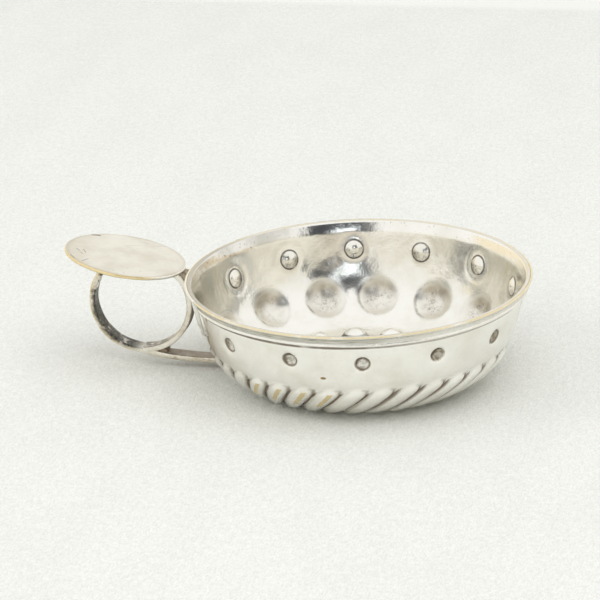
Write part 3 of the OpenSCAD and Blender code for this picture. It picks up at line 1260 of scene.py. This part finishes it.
        # The layers paint shade on the lobes' flanks and on one side of each dimple
        colour = g.layers(
            k.bright, (haze, k.dull), (speck * 0.45, k.tan), (soft * (0.40 + shade_depth * 0.35), self.lobe_flank_shade_tone),
            (patch * 0.9, self.patch_tone), (nick, self.nick_tone),
            (corner * s.rise(34.0, 40.0) * 0.35, self.corner_tone), (grime * 0.75, k.tan),
            (dimple * stain, self.dimple_tone), (shade * (0.85 - lighter * 0.40), self.shade_tone),
            ((groove_tarnish_and_shade | ring * 0.8 | line * 0.9) * 0.95, k.brown))
        rough = 0.13 + haze * 0.12 + groove_tarnish_and_shade * 0.3 + dimple * 0.2 + patch * 0.2
        normal = g.bump(grain, 0.0002, 0.10, g.bump(cloud, 0.0006, 0.25))
        return g.surface(colour, rough, 1.0 - (groove_tarnish_and_shade | line | nick) * 0.7, normal)

    def lip(self) -> Material:
        """The lip's top edge, worn to the brass and dirty beside the handle.

        Returns:
            The material.
        """
        g, point, a, _ = self.sheet("plate_lip")
        cloud = g.noise(point, 300.0, 3.0)
        left = a.rise(135.0, 165.0) * a.rise(240.0, 205.0)
        brass = cloud.rise(0.35, 0.7) * 0.7
        colour = g.layers(self.lip_tone, (brass, self.lip_brass), (left * 0.75, self.lip_dirt))
        return g.surface(colour, 0.18 + cloud * 0.15)

    def inside(self) -> Material:
        """The inner face: bright floor, browner wall, crisp dark outlines round pips and pearls, painted
        shade in and round the cupules.

        Returns:
            The material.
        """
        c, k, lip, bend = self.chasing, self.palette, self.chasing.profile.length, self.chasing.profile.bend_c
        g, point, a, s = self.sheet("plate_inside")
        cloud = g.noise(point, 130.0, 4.0)
        grain = g.noise(point, 800.0, 4.0, 0.65)
        fine = g.noise(point, 2400.0, 2.0, 0.6)
        dust = g.noise(point, 5200.0, 2.0, 0.7)
        streak = g.noise(g.vector(a * 0.45, s * 0.05), 1.0, 3.0, 0.6)
        jitter = grain - 0.5
        # Outlines of pips and pearls
        ring = (self.pip_gap(g, a, s) + jitter * 0.25).band(2.30, 0.08, 0.24)
        ring = ring * (g.noise(point, 420.0, 2.0) + 0.25).rise(0.42, 0.76)
        turn = (g.math("FRACT", (a - c.pearl_turn) / c.pip_step + 0.5) - 0.5) * (c.pip_step * DEGREE)
        r = s | 0.01
        pearl = g.hypot(turn * r, r - c.pearl_r).band(3.0, 0.22, 0.45) * s.rise(27.0, 25.0)
        # Cupules: dull hollow, painted shade over the upper half, spots, and a broken outline of painted
        # shade on one side
        hole = self.cupule_gap(g, a, s)
        hollow = hole.rise(5.0, 3.6)
        spots = (dust * 0.6 + grain * 0.4).rise(0.49, 0.62) * hole.rise(4.2, 2.6)
        spots = spots * (0.3 + cloud.rise(0.35, 0.6) * 0.7)
        upper_shade = (s - c.cupule_s).rise(0.4, 3.6) * (0.45 + g.noise(point, 420.0, 3.0).rise(0.35, 0.65) * 0.55)
        upper_shade = hollow * upper_shade * (1.0 - a.band(93.0, 8.0, 4.0) * 0.45)
        shaded_side = (self.cupule_gap(g, a + 1.0, s) - hole).rise(-0.1, 0.5)
        # Painted shade along one side of each cupule's rim
        brim = (hole + jitter * 0.5).band(4.9, 0.10, 0.50) * (0.20 + shaded_side * 0.80)
        brim = brim * (0.15 + g.noise(point, 330.0, 3.0).rise(0.42, 0.60) * 0.85) * a.rise(48.0, 62.0)
        # Wall and collar: streaks towards both ends, pits beside the handle
        wall = s.rise(bend + 15.0, bend + 22.0)
        collar = s.rise(lip - 3.0, lip - 2.6)
        plain = 1.0 - collar
        beside = s.band(lip - 2.0, 0.9, 0.4) * a.rise(135.0, 155.0) * a.rise(205.0, 190.0)
        pits = fine.rise(0.66, 0.74) * collar + grain.rise(0.60, 0.66) * beside
        ends = abs(a - 96.0).rise(40.0, 75.0) | a.rise(82.0, 48.0) * 0.15
        left = a.rise(112.0, 140.0) * a.rise(345.0, 300.0)
        tint = wall * streak.rise(0.35, 0.75) * a.rise(0.0, 10.0) * a.rise(360.0, 350.0)
        haze = cloud.rise(0.40, 0.70) * 0.5 + wall * 0.35 * plain
        outline = ring * 0.9 | pearl * (0.45 + cloud.rise(0.35, 0.6) * 0.45)
        colour = g.layers(
            k.bright, (haze, k.dull), (tint * (0.08 + ends * 0.30) * plain, self.wall_tone),
            (collar * left * (0.25 + cloud.rise(0.35, 0.65) * 0.4), self.collar_tone),
            (hollow * 0.16, self.hollow_tone), (upper_shade * 0.52, self.upper_shade_tone),
            (spots * 0.75 | pits * 0.8 | brim * 0.55, self.spot_and_shade_tone), (outline, self.outline_tone))
        rough = 0.14 + haze * 0.10 + hole.rise(6.6, 5.0) * 0.14 + spots * 0.25 + ring * 0.2
        normal = g.bump(grain, 0.0002, 0.12, g.bump(cloud, 0.0006, 0.30))
        return g.surface(colour, rough, 1.0 - (ring | pearl) * 0.6 - spots * 0.4, normal)

    def all(self) -> list[Material]:
        """The three finishes in the order of Side.

        Returns:
            The materials.
        """
        return [self.outside(), self.lip(), self.inside()]


@dataclass(frozen=True)
class MouldingFinish(Finish):
    """The rim wire: worn brassy edge, streaked grey cove, bright bead, painted shade on the bead's underside.
    """

    cove_tone: Colour = (0.28, 0.265, 0.205)
    gold_tone: Colour = (0.83, 0.70, 0.42)

    def material(self) -> Material:
        """Builds the shader; u runs down the wire's section and v round the lip.

        Returns:
            The material.
        """
        k = self.palette
        g, point, u, v = self.start("plate_moulding")
        drop = u * WIRE_UV
        streak = g.noise(g.vector(v * 60.0, drop * 5.0), 1.0, 4.0, 0.65)
        cloud = g.noise(point, 220.0, 3.0)
        cove = drop.rise(0.15, 0.35) * drop.rise(1.85, 1.70) * (0.40 + v.rise(0.35, 0.27) * 0.60)
        gold = drop.rise(0.20, 0.06) * cloud.rise(0.25, 0.5)
        # Dark line on the bead's underside: painted shade under the bead with the joint's dirt
        under_bead_shade_and_joint = drop.rise(2.40, 2.52)
        colour = g.layers(
            k.bright, (cloud.rise(0.4, 0.7) * 0.5, k.dull),
            (cove * (0.35 + streak.rise(0.35, 0.65) * 0.45), self.cove_tone),
            (cove * streak.rise(0.60, 0.72) * 0.7, k.brown),
            (gold * 0.85, self.gold_tone), (under_bead_shade_and_joint * 0.85, k.brown))
        return g.surface(colour, 0.16 + cove * 0.18, 1.0 - under_bead_shade_and_joint * 0.5, g.bump(streak, 0.0002, 0.25))


@dataclass(frozen=True)
class ShieldFinish(Finish):
    """The plate behind the handle: as the wall, with gritty brown blots along its lower edge."""

    def material(self) -> Material:
        """Builds the shader; u runs round the section and v along the shield.

        Returns:
            The material.
        """
        k = self.palette
        g, point, u, v = self.start("plate_shield")
        cloud = g.noise(point, 160.0, 4.0)
        grain = g.noise(point, 1100.0, 3.0, 0.7)
        off = abs(v - 0.5)
        low = u.rise(0.20, 0.10) | off.rise(0.445, 0.47) * u.rise(0.36, 0.22)
        blot = low * (0.45 + (grain * 0.6 + cloud * 0.4).rise(0.44, 0.54) * 0.55)
        blot = blot | off.band(0.483, 0.003, 0.003) * (cloud + 0.3).rise(0.5, 0.8)
        colour = g.layers(k.bright, (cloud.rise(0.4, 0.7) * 0.6, k.dull), (blot * 0.85, k.brown))
        rough = 0.16 + cloud * 0.12 + blot * 0.3
        return g.surface(colour, rough, 1.0 - blot * 0.6, g.bump(grain, 0.0003, 0.2))


@dataclass(frozen=True)
class StrapFinish(Finish):
    """The handled strip: a dark inner face that is partly tarnish and partly painted dark reflection, painted
    shade on the outer face of the ring's right stretch, light and brassy along its near edge.
    """

    pale: Colour = (0.88, 0.85, 0.77)
    dulled: Colour = (0.72, 0.65, 0.53)
    brassy: Colour = (0.74, 0.58, 0.29)
    grime_tone: Colour = (0.20, 0.135, 0.08)
    # colour of the painted shade on the outer face of the ring's right stretch
    back_shade_tone: Colour = (0.13, 0.085, 0.045)
    crust_tone: Colour = (0.16, 0.15, 0.11)
    tail_tone: Colour = (0.19, 0.135, 0.08)

    def material(self) -> Material:
        """Builds the shader; u runs round the strip's section and v along it.

        Returns:
            The material.
        """
        g, point, u, v = self.start("strap_worn")
        cloud = g.noise(point, 260.0, 4.0, 0.6)
        grain = g.noise(point, 1100.0, 4.0, 0.7)
        flake = g.noise(point, 480.0, 3.0, 0.65)
        # Stretches of the strip, then the faces of its section
        run = v * STRAP_UV
        left = run.rise(24.0, 29.0) * run.rise(60.0, 56.0)
        right = run.rise(73.0, 77.0)
        tail = run.rise(27.0, 23.0)
        end = run.rise(84.0, 93.0) * (flake + 0.2).rise(0.45, 0.75)
        ragged = u + ((grain - 0.5) * 0.10 + (cloud - 0.5) * 0.10)
        inner = ragged.rise(0.38, 0.43) * u.rise(0.64, 0.58)
        wide = ragged.rise(0.22, 0.28) * u.rise(0.70, 0.62)
        # Painted shade on the outer face of the ring's right stretch
        back = abs(u - 0.5).rise(0.40, 0.45) * right
        # Dark inner face, partly tarnish and partly painted dark reflection, with two places where it has
        # come off, and dirt
        torn = run.band(33.5, 3.4, 1.2) * flake.rise(0.50, 0.60) * 0.6
        patch = run.band(49.5, 1.6, 0.8) * (grain + cloud).rise(0.85, 1.1)
        dark = wide * left * (1.0 - (patch | torn)) | inner * (end * 0.85 | tail * 0.8 | right * 0.15)
        dark = dark * (cloud + grain).rise(0.62, 0.95)
        edge = u.band(0.40, 0.02, 0.015) * (right | tail) | u.band(0.30, 0.008, 0.01) * right * 0.6
        # brown takes in that painted shade as well as brown on the tail and its end
        brown = back | u.rise(0.16, 0.08) * tail | run.rise(9.0, 3.0) * 0.8
        brown = brown * (cloud + 0.3).rise(0.5, 0.8) * 0.75
        grime = (grain * 0.5 + cloud * 0.5).rise(0.52, 0.66) * 0.35
        # The inner face's dark colour: tarnish with painted dark reflection
        tarnish_and_dark_reflection = g.layers(self.palette.black, (grain.rise(0.4, 0.62), self.crust_tone), (tail, self.tail_tone))
        colour = g.layers(
            self.pale, (cloud.rise(0.35, 0.7), self.dulled),
            (u.band(0.16, 0.06, 0.05) * left * cloud.rise(0.35, 0.55) * 0.6, self.brassy),
            (grime | brown | edge * 0.8, self.grime_tone),
            (back * (cloud + 0.3).rise(0.45, 0.75) * 0.9, self.back_shade_tone), (dark, tarnish_and_dark_reflection))
        rough = 0.22 + grime * 0.3 + dark * 0.2 + back * 0.35
        metallic = 1.0 - dark * 0.6 - brown * 0.4 - back * 0.4
        return g.surface(colour, rough, metallic, g.bump(grain, 0.0005, 0.4))


@dataclass(frozen=True)
class PlateFinish(Finish):
    """The thumb plate: satin pale top with fine scratches, an edge worn to brass on the near side.

    Attributes:
        half: half the plate's length and width.
        scratches: both ends of each scratch, in millimetres from the plate's middle.
        faint: the same for the weak scratches.
        dent: the same for one broad mark.
    """

    half: tuple[float, float] = (14.65, 12.7)
    scratches: Sequence[Line] = (
        (-11.7, -2.1, -10.3, -3.4), (-10.2, -4.0, -9.0, -4.7), (-10.0, -1.8, -8.7, -3.8),
        (-8.4, -9.2, -7.2, -6.7), (-11.9, -6.5, -10.2, -8.2))
    faint: Sequence[Line] = ((1.6, 9.97, 7.3, 10.2), (3.8, 8.1, 7.5, 10.9), (-2.0, 5.5, 2.0, 8.0))
    dent: Line = (-10.9, 8.0, -8.5, 8.8)
    satin: Colour = (0.86, 0.83, 0.735)
    shaded: Colour = (0.66, 0.605, 0.49)
    brassy: Colour = (0.86, 0.69, 0.37)
    under_pale: Colour = (0.76, 0.71, 0.63)
    under_dull: Colour = (0.55, 0.47, 0.36)

    @staticmethod
    def scratched(x: Sock, y: Sock, lines: Sequence[Line], wide: float = 0.15) -> Sock:
        """Mask of some straight scratches.

        Args:
            x: millimetres along the plate.
            y: millimetres across it.
            lines: both ends of each scratch.
            wide: half their width.

        Returns:
            1 on the scratches.
        """
        masks = []
        for x0, y0, x1, y1 in lines:
            length = math.hypot(x1 - x0, y1 - y0)
            ux, uy = (x1 - x0) / length, (y1 - y0) / length
            along = (x - x0) * ux + (y - y0) * uy
            away = abs((y - y0) * ux - (x - x0) * uy)
            ends = along.rise(-0.1, 0.4) * along.rise(length + 0.1, length - 0.4)
            masks.append(away.rise(wide, wide * 0.3) * ends)
        return reduce(Sock.__or__, masks)

    def plate(self, name: str) -> tuple[Graph, Sock, Sock, Sock]:
        """An empty shader with the plate's coordinates.

        Args:
            name: the material's name.

        Returns:
            The shader, the point, and the millimetres along and across the plate from its middle.
        """
        g, point, u, v = self.start(name)
        return g, point, (u - 0.5) * PLATE_UV, (v - 0.5) * PLATE_UV

    def top(self) -> Material:
        """The upper face.

        Returns:
            The material.
        """
        g, point, x, y = self.plate("plate_top")
        cloud = g.noise(point, 110.0, 4.0, 0.6)
        grain = g.noise(point, 1000.0, 3.0, 0.6)
        marks = self.scratched(x, y, self.scratches)
        worn = self.scratched(x, y, self.faint)
        pit = self.scratched(x, y, [self.dent], 0.55) * grain.rise(0.25, 0.5)
        specks = grain.rise(0.67, 0.73) * 0.7
        rim = g.hypot(x / self.half[0], y / self.half[1]).rise(0.90, 0.985)
        shade = rim * 0.45 + cloud.rise(0.35, 0.75) * 0.75 + x.rise(-4.0, -14.0) * 0.4
        dirt = specks * 0.4 | marks * 0.7 | worn * 0.25 | pit * 0.85
        colour = g.layers(self.satin, (shade, self.shaded), (dirt, self.palette.brown))
        normal = g.bump(marks, -0.0001, 0.4, g.bump(cloud, 0.0006, 0.2))
        return g.surface(colour, 0.26 + cloud * 0.12, 1.0, normal)

    def edge(self) -> Material:
        """The rounded edge, brassy along the near left side.

        Returns:
            The material.
        """
        k = self.palette
        g, point, x, y = self.plate("plate_edge")
        cloud = g.noise(point, 300.0, 3.0)
        worn = (y * -1.0 - x * 0.35).rise(4.0, 9.0) * (cloud + 0.2).rise(0.35, 0.6)
        colour = g.layers(k.bright, (cloud.rise(0.4, 0.7) * 0.6, k.dull), (worn * 0.9, self.brassy))
        return g.surface(colour, 0.2 + cloud * 0.1)

    def underside(self) -> Material:
        """The lower face, dulled.

        Returns:
            The material.
        """
        g = Graph.paint("plate_under")
        point = g.place()
        cloud = g.noise(point, 150.0, 4.0, 0.6)
        grain = g.noise(point, 900.0, 3.0, 0.6)
        dull, dirt = cloud.rise(0.35, 0.7), grain.rise(0.6, 0.7) * 0.5
        colour = g.layers(self.under_pale, (dull, self.under_dull), (dirt, self.palette.brown))
        return g.surface(colour, 0.28 + cloud * 0.15, 1.0, g.bump(grain, 0.0003, 0.2))

    def all(self) -> list[Material]:
        """Top, edge and underside, in the order of Side.

        Returns:
            The materials.
        """
        return [self.top(), self.edge(), self.underside()]


@dataclass(frozen=True)
class SolderFinish(Finish):
    """Gritty grey-brown solder."""

    pale: Colour = (0.50, 0.43, 0.33)
    dark: Colour = (0.22, 0.16, 0.10)

    def material(self) -> Material:
        """Builds the shader.

        Returns:
            The material.
        """
        g = Graph.paint("solder_gritty")
        point = g.place()
        grain = g.noise(point, 1300.0, 4.0, 0.7)
        cloud = g.noise(point, 400.0, 3.0, 0.6)
        dirt = grain.rise(0.52, 0.62) * 0.8
        colour = g.layers(self.pale, (cloud.rise(0.35, 0.65), self.dark), (dirt, self.palette.brown))
        return g.surface(colour, 0.35 + grain * 0.3, 0.65, g.bump(grain, 0.0006, 0.6))


# Stage


@dataclass(frozen=True)
class Card:
    """A far coloured panel that only reflections see, on a sphere round the cup.

    Attributes:
        name: what it is.
        bearing: first and last direction in degrees from +X towards +Y.
        height: lowest and highest angle above the horizon, in degrees.
        colour: its light.
        far: distance in metres.
        soft: share of its width and height over which its edges fade.
    """

    name: str
    bearing: tuple[float, float]
    height: tuple[float, float]
    colour: Colour
    far: float = 3.0
    soft: float = 0.0
    rows: int = 10
    cols: int = 24

    def build(self) -> None:
        """Builds the panel."""
        turn, lift = np.radians(np.meshgrid(
            np.linspace(*self.bearing, self.cols), np.linspace(*self.height, self.rows)))
        points = self.far / MM * polar(np.cos(lift), turn, np.sin(lift))
        g = Graph.paint(self.name)
        glow = g.add("ShaderNodeEmission", None, {"Color": self.colour, "Strength": 1.0})
        if self.soft > 0.0:
            falls = ((0.0, self.soft), (1.0, 1.0 - self.soft))
            mask = reduce(Sock.__mul__, [side.rise(*fall) for side in g.flat() for fall in falls])
            clear = g.add("ShaderNodeBsdfTransparent")
            glow = g.add("ShaderNodeMixShader", None, {0: mask, 1: clear, 2: glow})
        g.close(glow)
        grid = Grid(points, map_uv(even(self.cols), even(self.rows)), closed=False)
        card = grid.build(self.name, [g.owner])
        for flag in ("camera", "diffuse", "transmission", "volume_scatter", "shadow"):
            setattr(card, f"visible_{flag}", False)


@dataclass(frozen=True)
class Lamp:
    """A soft round lamp turned to the cup, not seen in reflections.

    Attributes:
        name: the lamp's name.
        place: where it hangs, in metres.
        size: its width in metres.
        energy: its power in watts.
    """

    name: str
    place: Point
    size: float
    energy: float

    def build(self) -> None:
        """Hangs the lamp."""
        data = bpy.data.lights.new(self.name, "AREA")
        data.shape = "DISK"
        data.size = self.size
        data.energy = self.energy
        lamp = bpy.data.objects.new(self.name, data)
        lamp.location = self.place
        lamp.visible_glossy = False
        back = np.array(self.place) / np.linalg.norm(self.place)
        side = np.cross([0.0, 1.0, 0.0], back)
        side /= np.linalg.norm(side)
        aim = np.stack([side, np.cross(back, side), back], axis=-1)
        lamp.rotation_euler = Matrix(aim.tolist()).to_euler()
        bpy.context.scene.collection.objects.link(lamp)


@dataclass(frozen=True)
class Studio:
    """Pale floor, white surroundings, soft light and the photograph's camera.

    Attributes:
        sky: colour of the surroundings.
        fill: their strength as plain light; camera and reflections see them in full.
        eye: the camera's place in metres.
        ahead: where it looks.
        right: its level direction to the right, before the roll.
        roll: its roll in degrees.
    """

    plaster: Colour = (0.935, 0.945, 0.91)
    plaster_dark: Colour = (0.78, 0.79, 0.75)
    plaster_far: Colour = (0.93, 0.93, 0.895)
    floor_half: float = 3000.0
    sky: Colour = (1.0, 1.0, 0.985)
    fill: float = 0.79
    eye: Point = (0.134083, -0.649326, 0.266771)
    ahead: Point = (-0.2085, 0.9131, -0.3504)
    right: Point = (0.9749, 0.2226, 0.0)
    roll: float = math.radians(2.37)
    lens: float = 181.62
    lamps: Sequence[Lamp] = (
        Lamp("soft_lamp", (0.34, -0.34, 1.12), 1.3, 5.0),
        Lamp("fill_lamp", (-0.85, -0.45, 0.80), 0.8, 2.0),
    )
    cards: Sequence[Card] = (
        Card("room_front", (195.0, 272.0), (-3.0, 16.0), (1.0, 0.98, 0.92)),
        Card("room_near_right", (291.0, 360.0), (-3.0, 18.0), (0.93, 0.905, 0.81)),
        Card("room_right", (0.0, 78.0), (-3.0, 11.0), (0.80, 0.69, 0.51)),
        Card("room_left", (110.0, 190.0), (-3.0, 20.0), (1.0, 0.90, 0.70)),
        Card("figure_low", (270.0, 312.0), (-3.0, 24.0), (0.70, 0.63, 0.54), 2.95, 0.25),
        Card("figure", (266.0, 324.0), (9.0, 46.0), (0.052, 0.056, 0.064), 2.9, 0.12),
        Card("window", (279.0, 300.0), (14.0, 30.0), (1.38, 1.47, 1.56), 2.8, 0.12),
    )

    def floor(self) -> None:
        """Wide pale floor with a fine plaster-like grain."""
        x, y = np.meshgrid(*[np.linspace(-self.floor_half, self.floor_half, 3)] * 2)
        g = Graph.paint("floor_paint")
        px, py, _ = g.split(g.place())
        spot = g.vector(px, py * 0.4)
        grain = g.noise(spot, 900.0, 4.0, 0.7)
        fine = g.noise(spot, 2300.0, 3.0, 0.7)
        cloud = g.noise(spot, 60.0, 3.0, 0.6)
        far = (py + px * 0.02).rise(0.322, 0.330)
        mix = grain.rise(0.3, 0.7) * 0.45 + fine.rise(0.35, 0.65) * 0.60 + cloud.rise(0.35, 0.7) * 0.15
        colour = g.layers(self.plaster, (mix, self.plaster_dark), (far, self.plaster_far))
        paint = g.surface(colour, 0.8, 0.0, g.bump(grain + fine * 0.6, 0.0007, 0.5))
        grid = Grid(np.stack([x, y, np.zeros_like(x)], axis=-1), map_uv(even(3), even(3)), closed=False)
        grid.build("floor", [paint])

    def world(self) -> None:
        """White surroundings for camera and reflections, a little less as plain light."""
        world = bpy.data.worlds.new("surroundings")
        bpy.context.scene.world = world
        g = Graph(world)
        kinds = ("Camera", "Glossy", "Transmission")
        seen = reduce(Sock.__or__, [g.add("ShaderNodeLightPath", out=f"Is {kind} Ray") for kind in kinds])
        strength = seen * (1.0 - self.fill) + self.fill
        back = g.add("ShaderNodeBackground", None, {"Color": self.sky, "Strength": strength})
        g.close(back, "ShaderNodeOutputWorld")

    def camera(self) -> None:
        """The photograph's camera: a long lens about 0.7 m away, 20 degrees above the rim."""
        ahead, right = (np.array(line) / np.linalg.norm(line) for line in (self.ahead, self.right))
        up = np.cross(right, ahead)
        cos, sin = math.cos(self.roll), math.sin(self.roll)
        matrix = np.eye(4)
        matrix[:3] = np.stack([cos * right - sin * up, sin * right + cos * up, -ahead, self.eye], axis=-1)
        data = bpy.data.cameras.new("camera")
        data.lens = self.lens
        data.sensor_width = 36.0
        data.clip_start = 0.01
        camera = bpy.data.objects.new("camera", data)
        camera.matrix_world = Matrix(matrix.tolist())
        bpy.context.scene.collection.objects.link(camera)
        bpy.context.scene.camera = camera

    def build(self) -> None:
        """Sets the whole stage."""
        self.floor()
        self.world()
        self.camera()
        for thing in (*self.lamps, *self.cards):
            thing.build()
        bpy.context.scene.view_settings.view_transform = "Standard"


def dress_solder(material: Material) -> None:
    """Gives the small solder solids their gritty finish.

    Args:
        material: the finish.
    """
    for name in ("lip_solder", "lap_solder", "tail_solder", "plate_solder_near", "plate_solder_far"):
        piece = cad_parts[name]
        piece.data.materials.clear()
        piece.data.materials.append(material)
        LOG.info("solder %s dressed", name)


def main() -> None:
    """Builds the stage and the cup, piece by piece."""
    logging.basicConfig(level=logging.INFO, format="%(message)s")
    palette = Palette()
    chasing = Chasing()
    Studio().build()
    bowl = Bowl(chasing, SheetFinish(palette, chasing).all())
    rim = Rim(chasing.profile, MouldingFinish(palette).material(), ShieldFinish(palette).material())
    handle = Handle(chasing.profile, StrapFinish(palette).material(), PlateFinish(palette).all())
    for part in (bowl, rim, handle):
        part.build()
        part.dress()
    dress_solder(SolderFinish(palette).material())


if __name__ == "__main__":
    main()
